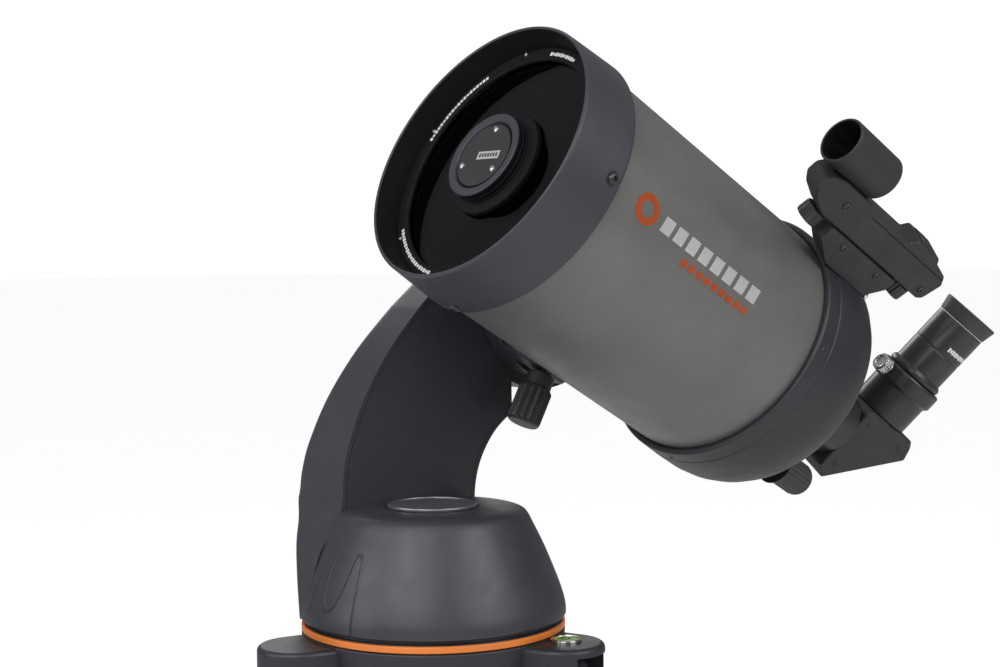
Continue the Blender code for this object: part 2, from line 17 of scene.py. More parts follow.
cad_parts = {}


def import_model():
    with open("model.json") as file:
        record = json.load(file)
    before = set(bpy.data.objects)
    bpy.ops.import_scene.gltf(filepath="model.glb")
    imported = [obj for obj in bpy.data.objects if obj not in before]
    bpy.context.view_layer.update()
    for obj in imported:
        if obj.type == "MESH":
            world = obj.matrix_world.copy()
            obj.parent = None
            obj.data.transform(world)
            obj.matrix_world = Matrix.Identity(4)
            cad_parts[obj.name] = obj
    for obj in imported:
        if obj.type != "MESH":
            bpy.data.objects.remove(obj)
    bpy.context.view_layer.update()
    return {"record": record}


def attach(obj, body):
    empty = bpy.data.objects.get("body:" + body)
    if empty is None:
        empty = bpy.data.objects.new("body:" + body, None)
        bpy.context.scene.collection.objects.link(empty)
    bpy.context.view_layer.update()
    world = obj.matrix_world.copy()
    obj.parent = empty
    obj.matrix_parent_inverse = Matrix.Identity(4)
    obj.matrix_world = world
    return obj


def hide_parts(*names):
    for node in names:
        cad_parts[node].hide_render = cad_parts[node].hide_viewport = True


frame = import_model()

MM = 0.001
JOINTS = {joint["name"]: joint for joint in frame["record"]["behaviour"]["joints"]}


def turn(axis, degrees):
    return Matrix.Rotation(math.radians(degrees), 4, axis)


def move(x, y, z):
    """A shift in millimetres."""
    return Matrix.Translation(Vector((x, y, z)) * MM)


def place(name):
    return Vector(JOINTS[name]["pos_m"])


def frame_of(up, side, back, origin):
    made = Matrix((up, side, back)).transposed().to_4x4()
    made.translation = origin
    return made


ALT_BACK = 160  # from the tube's front rim back to the altitude axis
EYE_BACK = 351  # from the rim back to the eyepiece's axis
DIAGONAL_TURN = 32
FINDER_TURN = 47
TUBE_RADIUS = 73
BARREL_RADIUS = 15.85
SIGHT_OUT = 131  # from the tube's axis out to the finder's
TUBE_BACK = Vector(JOINTS["focus_knob_turn"]["axis"]).normalized()
TUBE_SIDE = -Vector(JOINTS["altitude_turn"]["axis"]).normalized()
MOUNT = Matrix.Translation(place("azimuth_turn"))
TUBE = frame_of(TUBE_SIDE.cross(TUBE_BACK), TUBE_SIDE, TUBE_BACK,
                place("altitude_turn") - TUBE_BACK * ALT_BACK * MM)
EYE = TUBE @ move(0, 0, EYE_BACK) @ turn("Z", DIAGONAL_TURN) @ turn("Y", 90)
FINDER = TUBE @ turn("Z", FINDER_TURN)
LEG_TURNS = (50, 170, 290)
LEG_SPREAD = 22
HINGE_OUT, HINGE_UP = 80, -22  # a leg's hinge from the mount's origin
HINGE_HEIGHT = 618  # above the floor
STRUT_IN, STRUT_DOWN = 27, 300  # a strut's pin from its leg's hinge, in the leg's frame
STRUT_SLOPE = 30
EAR_OUT = 38  # from the azimuth axis out to the pivot at a bracket ear's end


# ---------------------------------------------------------------- finishes

DRIFT_SIZE, GLOSS_SIZE = 38, 14  # how wide, in millimetres, the patches of colour and of roughness are


def finish(name, color, roughness, metallic=0.0, grain=0.0, grain_size=0.6, mottle=0.1, streak=None,
           **sockets):
    """A material with colour that drifts, roughness that varies and a fine bump. Sizes are in millimetres."""
    made = bpy.data.materials.new(name)
    made.use_nodes = True
    made.diffuse_color = (*color, 1)
    nodes, links = made.node_tree.nodes, made.node_tree.links
    shader = nodes["Principled BSDF"]
    shader.inputs["Metallic"].default_value = metallic
    for socket, value in sockets.items():
        shader.inputs[socket.replace("_", " ")].default_value = value
    coords = nodes.new("ShaderNodeTexCoord")
    source = coords.outputs["Object"]
    if streak:
        stretch = nodes.new("ShaderNodeMapping")
        stretch.inputs["Scale"].default_value = streak
        links.new(source, stretch.inputs["Vector"])
        source = stretch.outputs["Vector"]

    def noise(size, detail):
        node = nodes.new("ShaderNodeTexNoise")
        node.inputs["Scale"].default_value = 1000 / size
        node.inputs["Detail"].default_value = detail
        links.new(source, node.inputs["Vector"])
        return node.outputs["Fac"]

    def spread(factor, low, high):
        node = nodes.new("ShaderNodeMapRange")
        node.inputs["From Min"].default_value = 0.3
        node.inputs["From Max"].default_value = 0.7
        node.inputs["To Min"].default_value = low
        node.inputs["To Max"].default_value = high
        links.new(factor, node.inputs["Value"])
        return node.outputs["Result"]

    drift = nodes.new("ShaderNodeMix")
    drift.data_type = "RGBA"
    drift.inputs["A"].default_value = (*[c * (1 - mottle) for c in color], 1)
    drift.inputs["B"].default_value = (*[min(1, c * (1 + mottle)) for c in color], 1)
    links.new(spread(noise(DRIFT_SIZE, 3), 0, 1), drift.inputs["Factor"])
    speckle = nodes.new("ShaderNodeMix")
    speckle.data_type = "RGBA"
    speckle.blend_type = "MULTIPLY"
    speckle.inputs["Factor"].default_value = 1
    fine = spread(noise(grain_size, 2), 1 - mottle, 1 + mottle)
    links.new(drift.outputs["Result"], speckle.inputs["A"])
    links.new(fine, speckle.inputs["B"])
    links.new(speckle.outputs["Result"], shader.inputs["Base Color"])
    links.new(spread(noise(GLOSS_SIZE, 4), roughness * 0.88, min(1, roughness * 1.14)),
              shader.inputs["Roughness"])
    if grain:
        bump = nodes.new("ShaderNodeBump")
        bump.inputs["Strength"].default_value = grain
        bump.inputs["Distance"].default_value = grain_size * MM * 0.25
        links.new(noise(grain_size, 3), bump.inputs["Height"])
        links.new(bump.outputs["Normal"], shader.inputs["Normal"])
    return made


GUNMETAL = finish("gunmetal_paint_look", (0.155, 0.155, 0.150), 0.42, 0.35, grain=0.12, grain_size=0.5,
                  mottle=0.07)
CHARCOAL = finish("charcoal_paint_look", (0.038, 0.039, 0.048), 0.42, grain=0.15, grain_size=0.7, mottle=0.08)
# Charcoal paint darkened: on the rear cell this is painted shade, on the tripod hub it is the hub's own
# darker colour.
DARK_AND_SHADED_CHARCOAL = finish("dark_and_shaded_charcoal_look", (0.021, 0.021, 0.027), 0.44, grain=0.15, grain_size=0.7, mottle=0.08)
SHELL = finish("charcoal_plastic_look", (0.036, 0.037, 0.046), 0.41, grain=0.35, grain_size=0.9, mottle=0.09)
BLACK = finish("black_plastic_look", (0.024, 0.024, 0.025), 0.55, grain=0.3, grain_size=0.8, mottle=0.1)
# Flat black for the tube's inside. On the front cell's inner wall it is painted shade, and its lowered
# specular also darkens that wall's reflection.
FLAT_BLACK_AND_SHADE = finish("flat_black_and_painted_shade_look", (0.0045, 0.0045, 0.0065), 0.7, grain=0.03, grain_size=1.2, mottle=0.1,
                Specular_IOR_Level=0.22)
SATIN = finish("satin_black_look", (0.027, 0.027, 0.032), 0.30, grain=0.08, grain_size=0.6, mottle=0.1)
ORANGE = finish("orange_plastic_look", (0.72, 0.20, 0.035), 0.38, grain=0.08, grain_size=0.8, mottle=0.06)
COVER = finish("grey_plastic_look", (0.075, 0.08, 0.092), 0.42, grain=0.25, grain_size=0.8, mottle=0.07)
GLASS = finish("optical_glass_look", (0.90, 0.96, 0.95), 0.02, mottle=0.01, Transmission_Weight=1.0, IOR=1.5)
# Corrector glass tinted dark: partly its coating, partly painted shade that darkens the view into the tube.
COATED_AND_SHADE_TINTED_GLASS = finish("coated_and_shade_tinted_glass_look", (0.24, 0.24, 0.31), 0.005, mottle=0.02, Transmission_Weight=1.0, IOR=1.3)
MIRROR = finish("mirror_coating_look", (0.88, 0.89, 0.90), 0.03, 1.0, mottle=0.01)
STEEL = finish("brushed_steel_look", (0.52, 0.52, 0.53), 0.30, 1.0, grain=0.12, grain_size=0.7, mottle=0.08,
               streak=(1, 1, 0.06))
CHROME = finish("chrome_look", (0.78, 0.78, 0.79), 0.14, 1.0, grain=0.03, grain_size=0.7, mottle=0.04)
ALUMINIUM = finish("aluminium_look", (0.62, 0.62, 0.63), 0.34, 1.0, grain=0.1, grain_size=0.6, mottle=0.06)
BRASS = finish("brass_look", (0.66, 0.45, 0.16), 0.30, 1.0, grain=0.08, grain_size=0.6, mottle=0.08)
RUBBER = finish("rubber_look", (0.04, 0.04, 0.044), 0.48, grain=0.4, grain_size=0.6, mottle=0.12)
WHITE = finish("white_print_look", (0.78, 0.78, 0.76), 0.45, grain=0.05, grain_size=0.4, mottle=0.03)
ORANGE_PRINT = finish("orange_print_look", (0.66, 0.13, 0.03), 0.45, grain=0.05, grain_size=0.4, mottle=0.05)
LABEL = finish("grey_print_look", (0.42, 0.42, 0.43), 0.5, grain=0.05, grain_size=0.4, mottle=0.05)
FLUID = finish("level_fluid_look", (0.34, 0.62, 0.13), 0.08, mottle=0.06, Coat_Weight=1.0)


# ---------------------------------------------------------------- shapes


def piece(name, mesh, look, body, *nodes, weighted=True):
    """The mesh as an object with that finish, riding on the body in place of the CAD nodes."""
    obj = bpy.data.objects.new(name, mesh)
    bpy.context.scene.collection.objects.link(obj)
    if not mesh.materials:
        mesh.materials.append(look)
    if weighted:
        normals = obj.modifiers.new("Weighted normals", "WEIGHTED_NORMAL")
        normals.keep_sharp = True
    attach(obj, body)
    if nodes:
        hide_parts(*nodes)
    return obj


def finished(bm, name, matrix=Matrix(), sharp=38):
    """The bmesh as a smooth-shaded mesh with its corners over that angle kept sharp."""
    bmesh.ops.recalc_face_normals(bm, faces=bm.faces)
    for face in bm.faces:
        face.smooth = True
    for edge in bm.edges:
        edge.smooth = edge.calc_face_angle(0) < math.radians(sharp)
    bm.transform(matrix)
    if matrix.determinant() < 0:
        bmesh.ops.reverse_faces(bm, faces=bm.faces)
    mesh = bpy.data.meshes.new(name)
    bm.to_mesh(mesh)
    bm.free()
    return mesh


def rounded(points, radius, closed):
    """The outline with its corners rounded."""
    made = []
    for i, point in enumerate(points):
        ends = not closed and i in (0, len(points) - 1)
        here = Vector(point)
        before = Vector(points[i - 1]) - here
        after = Vector(points[(i + 1) % len(points)]) - here
        if ends or not radius or before.angle(after, math.pi) > math.radians(166):
            made.append(tuple(here))
            continue
        reach = min(radius, 0.45 * before.length, 0.45 * after.length)
        start = here + before.normalized() * reach
        end = here + after.normalized() * reach
        for t in (0, 0.33, 0.67, 1):
            made.append(tuple(start * (1 - t) ** 2 + here * 2 * t * (1 - t) + end * t ** 2))
    return made


def lathe(profile, steps=144, radius=0.5, ribs=0, depth=0.0, rib_span=(-1e9, 1e9), inner=None):
    """A bmesh of (radius, height) points turned about Z.

    Ribs cut in by depth between the rib_span heights. Faces where inner(radius, height) is true take the
    second material.
    """
    solid = any(point[0] == 0 for point in profile)
    outline = list(profile)
    while solid and not (outline[0][0] == 0 and outline[-1][0] == 0):
        outline = outline[1:] + outline[:1]
    outline = rounded(outline, radius, not solid)
    if ribs:
        steps = ribs * 8
    bm = bmesh.new()
    rings = []
    for r, z in outline:
        if r < 1e-6:
            rings.append([bm.verts.new((0, 0, z * MM))])
            continue
        ring = []
        for k in range(steps):
            a = 2 * math.pi * k / steps
            ribbed = rib_span[0] < z < rib_span[1]
            wave = depth * (0.5 - 0.5 * math.cos(ribs * a)) ** 0.6 if ribbed else 0
            out = (r - wave) * MM
            ring.append(bm.verts.new((out * math.cos(a), out * math.sin(a), z * MM)))
        rings.append(ring)
    pairs = list(zip(rings, rings[1:]))
    if not solid:
        pairs.append((rings[-1], rings[0]))
    for low, high in pairs:
        for k in range(steps):
            j = (k + 1) % steps
            if len(low) == 1 and len(high) == 1:
                break
            if len(low) == 1:
                corners = (low[0], high[k], high[j])
            elif len(high) == 1:
                corners = (low[k], low[j], high[0])
            else:
                corners = (low[k], low[j], high[j], high[k])
            face = bm.faces.new(corners)
            if inner:
                middle = face.calc_center_median() / MM
                face.material_index = int(inner(math.hypot(middle.x, middle.y), middle.z))
    return bm


def turned(name, profile, matrix, look, body, *nodes, second=None, **shape):
    mesh = finished(lathe(profile, **shape), name, matrix)
    if second:
        mesh.materials.append(look)
        mesh.materials.append(second)
    return piece(name, mesh, look, body, *nodes)


def slab(outline, thickness, radius=1.0, segments=3, corner=0.0):
    """A bmesh of an (x, y) outline, thickened both ways along Z, with rounded edges."""
    points = rounded(outline, corner, True)
    bm = bmesh.new()
    face = bm.faces.new([bm.verts.new((x * MM, y * MM, -thickness * MM / 2)) for x, y in points])
    raised = bmesh.ops.extrude_face_region(bm, geom=[face])
    lifted = [item for item in raised["geom"] if isinstance(item, bmesh.types.BMVert)]
    bmesh.ops.translate(bm, verts=lifted, vec=(0, 0, thickness * MM))
    bmesh.ops.recalc_face_normals(bm, faces=bm.faces)
    if radius:
        edges = [edge for edge in bm.edges if edge.calc_face_angle(0) > math.radians(50)]
        bmesh.ops.bevel(bm, geom=edges, offset=radius * MM, segments=segments, profile=0.5, affect="EDGES",
                        clamp_overlap=True)
    return bm


def block(size, radius=1.0, segments=3):
    """A bmesh of a box with rounded edges, in millimetres, centred on its origin."""
    x, y = size[0] / 2, size[1] / 2
    return slab([(-x, -y), (x, -y), (x, y), (-x, y)], size[2], radius, segments)


def merged(parts):
    """One bmesh of several (bmesh, matrix) pairs."""
    made = bmesh.new()
    for part, matrix in parts:
        part.transform(matrix)
        mesh = bpy.data.meshes.new("part")
        part.to_mesh(mesh)
        part.free()
        made.from_mesh(mesh)
        bpy.data.meshes.remove(mesh)
    return made


def carved(name, bm, tools, sharp=38, knotted=False):
    """The bmesh after Booleans with each (operation, bmesh) of tools, which share its frame.

    knotted allows a tool that passes through itself.
    """
    base = bpy.data.objects.new(name, finished(bm, name))
    bpy.context.scene.collection.objects.link(base)
    helpers = [base]
    for operation, tool in tools:
        helper = bpy.data.objects.new("tool", finished(tool, "tool"))
        bpy.context.scene.collection.objects.link(helper)
        helpers.append(helper)
        modifier = base.modifiers.new("Boolean", "BOOLEAN")
        modifier.operation = operation
        modifier.solver = "EXACT"
        modifier.use_self = knotted
        modifier.object = helper
    graph = bpy.context.evaluated_depsgraph_get()
    result = bmesh.new()
    result.from_mesh(base.evaluated_get(graph).to_mesh())
    for helper in helpers:
        mesh = helper.data
        bpy.data.objects.remove(helper)
        bpy.data.meshes.remove(mesh)
    bmesh.ops.remove_doubles(result, verts=result.verts, dist=1e-6)
    return finished(result, name, sharp=sharp)


def placed(bm, matrix):
    bm.transform(matrix)
    return bm


def carved_piece(name, bm, tools, matrix, look, body, node, **cutting):
    mesh = carved(name, bm, tools, **cutting)
    mesh.transform(matrix)
    return piece(name, mesh, look, body, node)


def mark(name, bm, matrix, look, body="optical_tube"):
    piece(name, finished(bm, name, matrix), look, body, weighted=False)


def arc(cx, cy, radius, start, end, count):
    angles = [math.radians(start + (end - start) * i / count) for i in range(count + 1)]
    return [(cx + radius * math.cos(a), cy + radius * math.sin(a)) for a in angles]


def smooth(points, count):
    """Points on a Catmull-Rom curve through the given ones, count to a stretch."""
    ends = [points[0], *points, points[-1]]
    made = []
    for i in range(1, len(ends) - 2):
        a, b, c, d = (Vector(p) for p in ends[i - 1:i + 3])
        for k in range(count):
            t = k / count
            p = b + 0.5 * t * (c - a + t * (2 * a - 5 * b + 4 * c - d + t * (3 * (b - c) + d - a)))
            made.append(tuple(p))
    return [*made, tuple(points[-1])]


def grown(outline, distance):
    """The outline with every point moved out by the distance."""
    count = len(outline)
    area = sum(a[0] * b[1] - b[0] * a[1] for a, b in zip(outline, outline[1:] + outline[:1]))
    made = []
    for i, point in enumerate(outline):
        before = (Vector(point) - Vector(outline[i - 1])).normalized()
        after = (Vector(outline[(i + 1) % count]) - Vector(point)).normalized()
        along = (before + after).normalized()
        step = math.copysign(distance, distance * area) / max(0.5, along.dot(after))
        made.append((point[0] + along.y * step, point[1] - along.x * step))
    return made


def screw_head(radius, height, recess=0.45):
    """A bmesh of a button head with a round recess, seated at Z 0."""
    profile = [(0, -0.6), (radius, -0.6), (radius, height * 0.4), (radius * 0.8, height * 0.85),
               (radius * recess * 1.05, height), (radius * recess, height * 0.96),
               (radius * recess, height * 0.35), (0, height * 0.35)]
    return lathe(profile, 36, 0.1)


def around(radius, height, degrees):
    """A place on a turned part, with +Z pointing out from its axis."""
    return turn("Z", degrees) @ move(radius, 0, height) @ turn("Y", 90)


# ---------------------------------------------------------------- optical tube


def optical_tube():
    body = "optical_tube"
    turned("tube_skin", [(71.5, 24.6), (73, 24.6), (73, 216.6), (71.5, 216.6)], TUBE, GUNMETAL, body,
           "main_tube", steps=192, radius=0.2, second=FLAT_BLACK_AND_SHADE, inner=lambda r, z: r < 72.2)
    front_profile = [
        (72.4, 0.6), (73.4, 0), (74.4, 1), (76.6, 34.3), (75.8, 35.8), (73.3, 35.8), (73.3, 24.3),
        (61.5, 24.3), (61.5, 21.6), (66.3, 21.6), (66.3, 17.2), (70.4, 17.2), (70.4, 14),
    ]
    # The front cell's inner wall takes the flat black as painted shade.
    turned("front_cell_skin", front_profile, TUBE, CHARCOAL, body, "front_cell", steps=192, radius=0.7,
           second=FLAT_BLACK_AND_SHADE, inner=lambda r, z: r < 73 and 0.8 < z < 24.2)
    turned("retaining_ring_skin", [(62.8, 15.4), (63.6, 14.6), (70, 14.6), (70, 16.9), (62.8, 16.9)], TUBE,
           FLAT_BLACK_AND_SHADE, body, "retaining_ring", steps=192, radius=0.25)
    # The corrector's dark tint is partly painted shade over the tube's inside.
    turned("corrector_glass", [(22.4, 17.5), (65.9, 17.5), (65.9, 21.2), (22.4, 21.2)], TUBE, COATED_AND_SHADE_TINTED_GLASS, body,
           "corrector_plate", steps=160, radius=0.3)
    ring_marks()
    for i in range(6):
        spot = TUBE @ turn("Z", 50 + 60 * i) @ move(68.4, 0, 14.6) @ turn("X", 180)
        piece(f"ring_screw_{i}", finished(screw_head(1.3, 0.9), "ring_screw", spot), STEEL, body)
    for i in range(4):
        spot = TUBE @ around(76.1, 29.4, 93 + 90 * i)
        piece(f"front_screw_{i}", finished(screw_head(3.1, 2.0), "front_screw", spot), SATIN, body)
        seat = lathe([(3.3, -0.5), (4.1, -0.5), (4.1, 0.25), (3.3, 0.25)], 40, 0.1)
        piece(f"front_screw_seat_{i}", finished(seat, "front_screw_seat", spot), SATIN, body)
        back = TUBE @ around(76.0, 212.4, 94 + 90 * i)
        piece(f"rear_screw_{i}", finished(screw_head(2.3, 1.5), "rear_screw", back), SATIN, body)
    secondary()
    turned("baffle_skin", [(17, 150), (19, 150), (19, 258), (31, 258), (31, 263), (23.6, 263), (23.6, 266),
                           (17, 266)],
           TUBE, FLAT_BLACK_AND_SHADE, body, "baffle_tube", steps=72)
    turned("mirror_carrier_skin",
           [(19.3, 226), (22.5, 226), (22.5, 239), (58, 239), (58, 242.5), (24, 244), (24, 250), (19.3, 250)],
           TUBE, ALUMINIUM, "focus_mirror", "mirror_carrier", steps=72)
    turned("primary_mirror_skin", [(22.9, 228.5), (45, 227), (65.5, 224), (65.5, 238.7), (22.9, 238.7)], TUBE,
           MIRROR, "focus_mirror", "primary_mirror", steps=144, radius=0.3)
    # The rear cell takes the darkened charcoal as painted shade.
    turned(
        "rear_cell_skin",
        [
            (73.3, 206.2), (76.2, 206.2), (77, 207.2), (77.3, 216), (77, 216.5), (77, 217.3), (77.3, 217.8),
            (77.6, 222), (77.6, 236), (76.4, 245), (73.8, 253), (70, 260), (65, 265.6), (58.5, 270),
            (52, 271.5), (24, 271.5), (24, 265.8), (34, 265.8), (52, 264), (64, 256), (71, 244), (71, 217),
            (73.3, 217),
        ],
        TUBE, DARK_AND_SHADED_CHARCOAL, body, "rear_cell", steps=192, radius=1.2,
    )
    for i in range(3):
        spot = TUBE @ turn("Z", 30 + 120 * i) @ move(43, 0, 271.3)
        piece(f"back_screw_{i}", finished(screw_head(2.6, 1.8), "back_screw", spot), STEEL, body)
    turned("focus_collar", [(3.5, 271.3), (12.4, 271.3), (12.4, 272.2), (3.5, 272.2)],
           TUBE @ move(-52, 17, 0), SATIN, body, steps=64, radius=0.3)
    turned("focus_knob_skin", [(0, 252), (3, 252), (3, 272.6), (9.4, 272.6), (10.2, 274), (10.2, 294),
                               (8.8, 297), (0, 298)],
           TUBE @ move(-52, 17, 0), RUBBER, "focus_knob", "focus_knob", radius=1.0, ribs=22, depth=0.7,
           rib_span=(274.6, 294.5))
    turned(
        "visual_back_skin",
        [
            (16.2, 266.4), (23.7, 266.4), (23.7, 271.8), (28.5, 271.8), (28.5, 278), (23, 281), (23, 292),
            (21.4, 294), (21.4, 309), (20.4, 310.5), (16.2, 310.5),
        ],
        TUBE, SATIN, body, "visual_back", steps=128, radius=0.6,
    )
    thumb_screw("visual_back_screw_skin", TUBE @ turn("Z", -58) @ move(0, 0, 301) @ turn("Y", 90), 16.8, 24,
                "visual_back_screw", "visual_back_screw")


def ring_marks():
    """Rows of plain raised ticks round the ring in front of the corrector."""
    ticks = []
    for start, end in ((-74, -32), (-166, -124), (8, 28), (60, 78)):
        count = round((end - start) / 2.1)
        for i in range(count):
            height = (2.1, 1.5, 2.1, 1.8)[i % 4]
            spot = turn("Z", start + (end - start) * i / count) @ move(66.1, 0, 14.56)
            ticks.append((block((height, 1.75, 0.16), 0), spot))
    mark("ring_marks", merged(ticks), TUBE, WHITE)


def secondary():
    body = "optical_tube"
    turned(
        "secondary_holder_skin",
        [
            (0, 7.6), (19.2, 7.6), (20, 5.9), (23.9, 5.5), (24.6, 6.4), (24.6, 8.2), (24.1, 8.5), (24.1, 9.2),
            (24.6, 9.5), (24.6, 10.8), (24.1, 11.1), (24.1, 11.8), (24.6, 12.1), (24.6, 13.2), (29.4, 14),
            (30, 14.8), (30, 17.2), (22, 17.2), (22, 22.6), (0, 22.6),
        ],
        TUBE, CHARCOAL, body, "secondary_holder", steps=128, radius=0.35,
        second=FLAT_BLACK_AND_SHADE, inner=lambda r, z: z > 6.9 or (r > 23.9 and z > 6.2),
    )
    turned("secondary_plate", [(0, 6.3), (18.3, 6.3), (18.3, 7.8), (0, 7.8)], TUBE, BLACK, body, steps=96,
           radius=0.3)
    turned("secondary_mirror_skin", [(0, 22.9), (24, 22.9), (25, 24), (25, 33), (23, 33), (23, 30), (0, 29)],
           TUBE, MIRROR, body, "secondary_mirror", steps=96, radius=0.3, second=FLAT_BLACK_AND_SHADE,
           inner=lambda r, z: r > 23.6 or z < 28)
    for i in range(3):
        spot = TUBE @ turn("Z", 6.5 + 120 * i) @ move(15, 0, 6.3) @ turn("X", 180)
        piece(f"collimation_screw_{i}", finished(screw_head(1.7, 1.1), "collimation_screw", spot), CHROME,
              body)
    label = TUBE @ move(-0.3, 3.9, 6.25)
    piece("secondary_label", finished(block((4.6, 17, 0.2), 0.05, 1), "secondary_label", label), LABEL, body)
    dashes = [(block((2.2, 1.3, 0.1), 0), move(0, -6.4 + 2.15 * i, -0.12)) for i in range(7)]
    mark("secondary_label_marks", merged(dashes), label, SATIN)


def thumb_screw(name, matrix, tip, head, body, node):
    turned(name, [(0, tip), (2, tip), (2, head), (5.2, head), (5.8, head + 0.8), (5.8, head + 6.2),
                  (5, head + 7), (3.6, head + 7), (3.2, head + 6.4), (0, head + 6.4)],
           matrix, CHROME, body, node, radius=0.3, ribs=28, depth=0.35, rib_span=(head + 0.7, head + 6.3))


def on_tube(cells, lift=0.12):
    """A bmesh of thin patches on the tube, each from four (distance back, distance round) corners."""
    bm = bmesh.new()
    for corners in cells:
        a, b, c, d = (Vector(corner) for corner in corners)
        rows = 8
        grid = []
        for i in range(rows + 1):
            t = i / rows
            row = []
            for point in (a.lerp(d, t), b.lerp(c, t)):
                angle = point.y / TUBE_RADIUS
                radius = (TUBE_RADIUS + lift) * MM
                row.append(bm.verts.new((radius * math.cos(angle), radius * math.sin(angle), point.x * MM)))
            grid.append(row)
        for low, high in zip(grid, grid[1:]):
            bm.faces.new((low[0], low[1], high[1], high[0]))
    bmesh.ops.solidify(bm, geom=bm.faces[:], thickness=lift * MM)
    return bm


def tube_marks():
    """A generic mark along the tube: an orange ring, a row of pale blocks and a row of orange dashes."""
    middle = math.radians(93) * TUBE_RADIUS
    ring = []
    for i in range(24):
        cells = []
        for radius, k in ((8.4, i), (8.4, i + 1), (4.4, i + 1), (4.4, i)):
            angle = 2 * math.pi * k / 24
            cells.append((60 + radius * math.cos(angle), middle - 0.5 + radius * math.sin(angle)))
        ring.append(cells)
    mark("tube_mark_ring", on_tube(ring), TUBE, ORANGE_PRINT)
    blocks = []
    for i in range(8):
        back = 74 + 10.4 * i
        blocks.append([(back, middle - 4.4), (back + 7.6, middle - 4.4), (back + 6, middle + 4.4),
                       (back - 1.6, middle + 4.4)])
    mark("tube_mark_blocks", on_tube(blocks), TUBE, WHITE)
    dashes = []
    for i in range(9):
        back = 95 + 6.4 * i
        dashes.append([(back, middle + 8.4), (back + 4.6, middle + 8.4), (back + 3.8, middle + 12.2),
                       (back - 0.8, middle + 12.2)])
    mark("tube_mark_dashes", on_tube(dashes), TUBE, ORANGE_PRINT)


# ---------------------------------------------------------------- diagonal, eyepiece and finder


def diagonal_and_eyepiece():
    body = "diagonal"
    turned("diagonal_nose_skin", [(14, 280), (BARREL_RADIUS, 280), (BARREL_RADIUS, 310.8), (20.5, 310.8),
                                  (21, 312), (21, 325.8), (14, 325.8)],
           TUBE, SATIN, body, "diagonal_nose", steps=96, radius=0.4)
    outline = [(24.7, 18), (21, 22), (-21.5, 22), (-25, 18), (-28.3, 9.5), (16.5, -30), (24.7, -24)]
    prism = placed(slab(outline, 36, 1.8, 4, 1.5), turn("X", 90))
    bores = []
    for place_bore in (move(28, 0, 0) @ turn("Y", 90), move(0, 0, 28)):
        bore = placed(lathe([(0, -28), (14, -28), (14, 20), (0, 20)], 96, 0), place_bore)
        bores.append(("DIFFERENCE", bore))
    carved_piece("diagonal_body_skin", prism, bores, EYE, BLACK, body, "diagonal_body")
    turned("diagonal_mirror_skin", [(0, -1), (12, -1), (12, 1), (0, 1)], EYE @ move(3, 0, 3) @ turn("Y", 45),
           MIRROR, body, "diagonal_mirror", steps=64, radius=0.2)
    for i, (x, z) in enumerate(((17, 14), (-16, 14), (15, -18))):
        for side in (1, -1):
            spot = EYE @ move(x, 18 * side, z) @ turn("X", -90 * side)
            piece(f"diagonal_screw_{i}_{side + 1}", finished(screw_head(1.5, 0.7), "diagonal_screw", spot),
                  SATIN, body)
    turned("eyepiece_holder_skin", [(16.2, 22.3), (19, 22.3), (19, 41), (21.2, 43), (21.2, 51.6),
                                    (20.2, 52.8), (16.2, 52.8)],
           EYE, SATIN, body, "eyepiece_holder", steps=128, radius=0.6)
    thumb_screw("holder_screw_skin", EYE @ move(0, 0, 47.4) @ turn("Y", 90), 16.8, 23.4, "holder_screw",
                "holder_screw")
    turned(
        "eyepiece_skin",
        [
            (12.5, 27), (BARREL_RADIUS, 27), (BARREL_RADIUS, 53.1), (18, 53.1), (18.4, 54), (18.4, 56),
            (16.5, 58), (16.5, 74), (16.2, 74.4), (16.2, 75), (16.5, 75.4), (16.5, 96), (13.5, 96),
            (13.5, 91), (10.6, 90.4), (10.6, 84), (12.5, 84),
        ],
        EYE, SATIN, "eyepiece", "eyepiece_body", steps=144, radius=0.5,
    )
    turned("eye_lens", [(0, 88.6), (10.5, 87.6), (10.5, 85), (0, 84.2)], EYE, GLASS, "eyepiece", steps=72,
           radius=0.2)
    turned("eyecup_skin",
           [(13.2, 96.3), (16.6, 96.3), (17, 98), (18.4, 105.4), (17.4, 106), (15.6, 104.5), (13.2, 99)],
           EYE, RUBBER, "eyepiece", "eyecup", steps=144, radius=0.5)
    marks = []
    for i in range(13):
        spot = turn("Z", 62 + 5.6 * i) @ move(16.5, 0, 80) @ turn("Y", 90)
        marks.append((block(((3.0, 2.2, 3.0, 2.6)[i % 4], 1.15, 0.16), 0), spot))
    mark("eyepiece_marks", merged(marks), EYE, WHITE, "eyepiece")


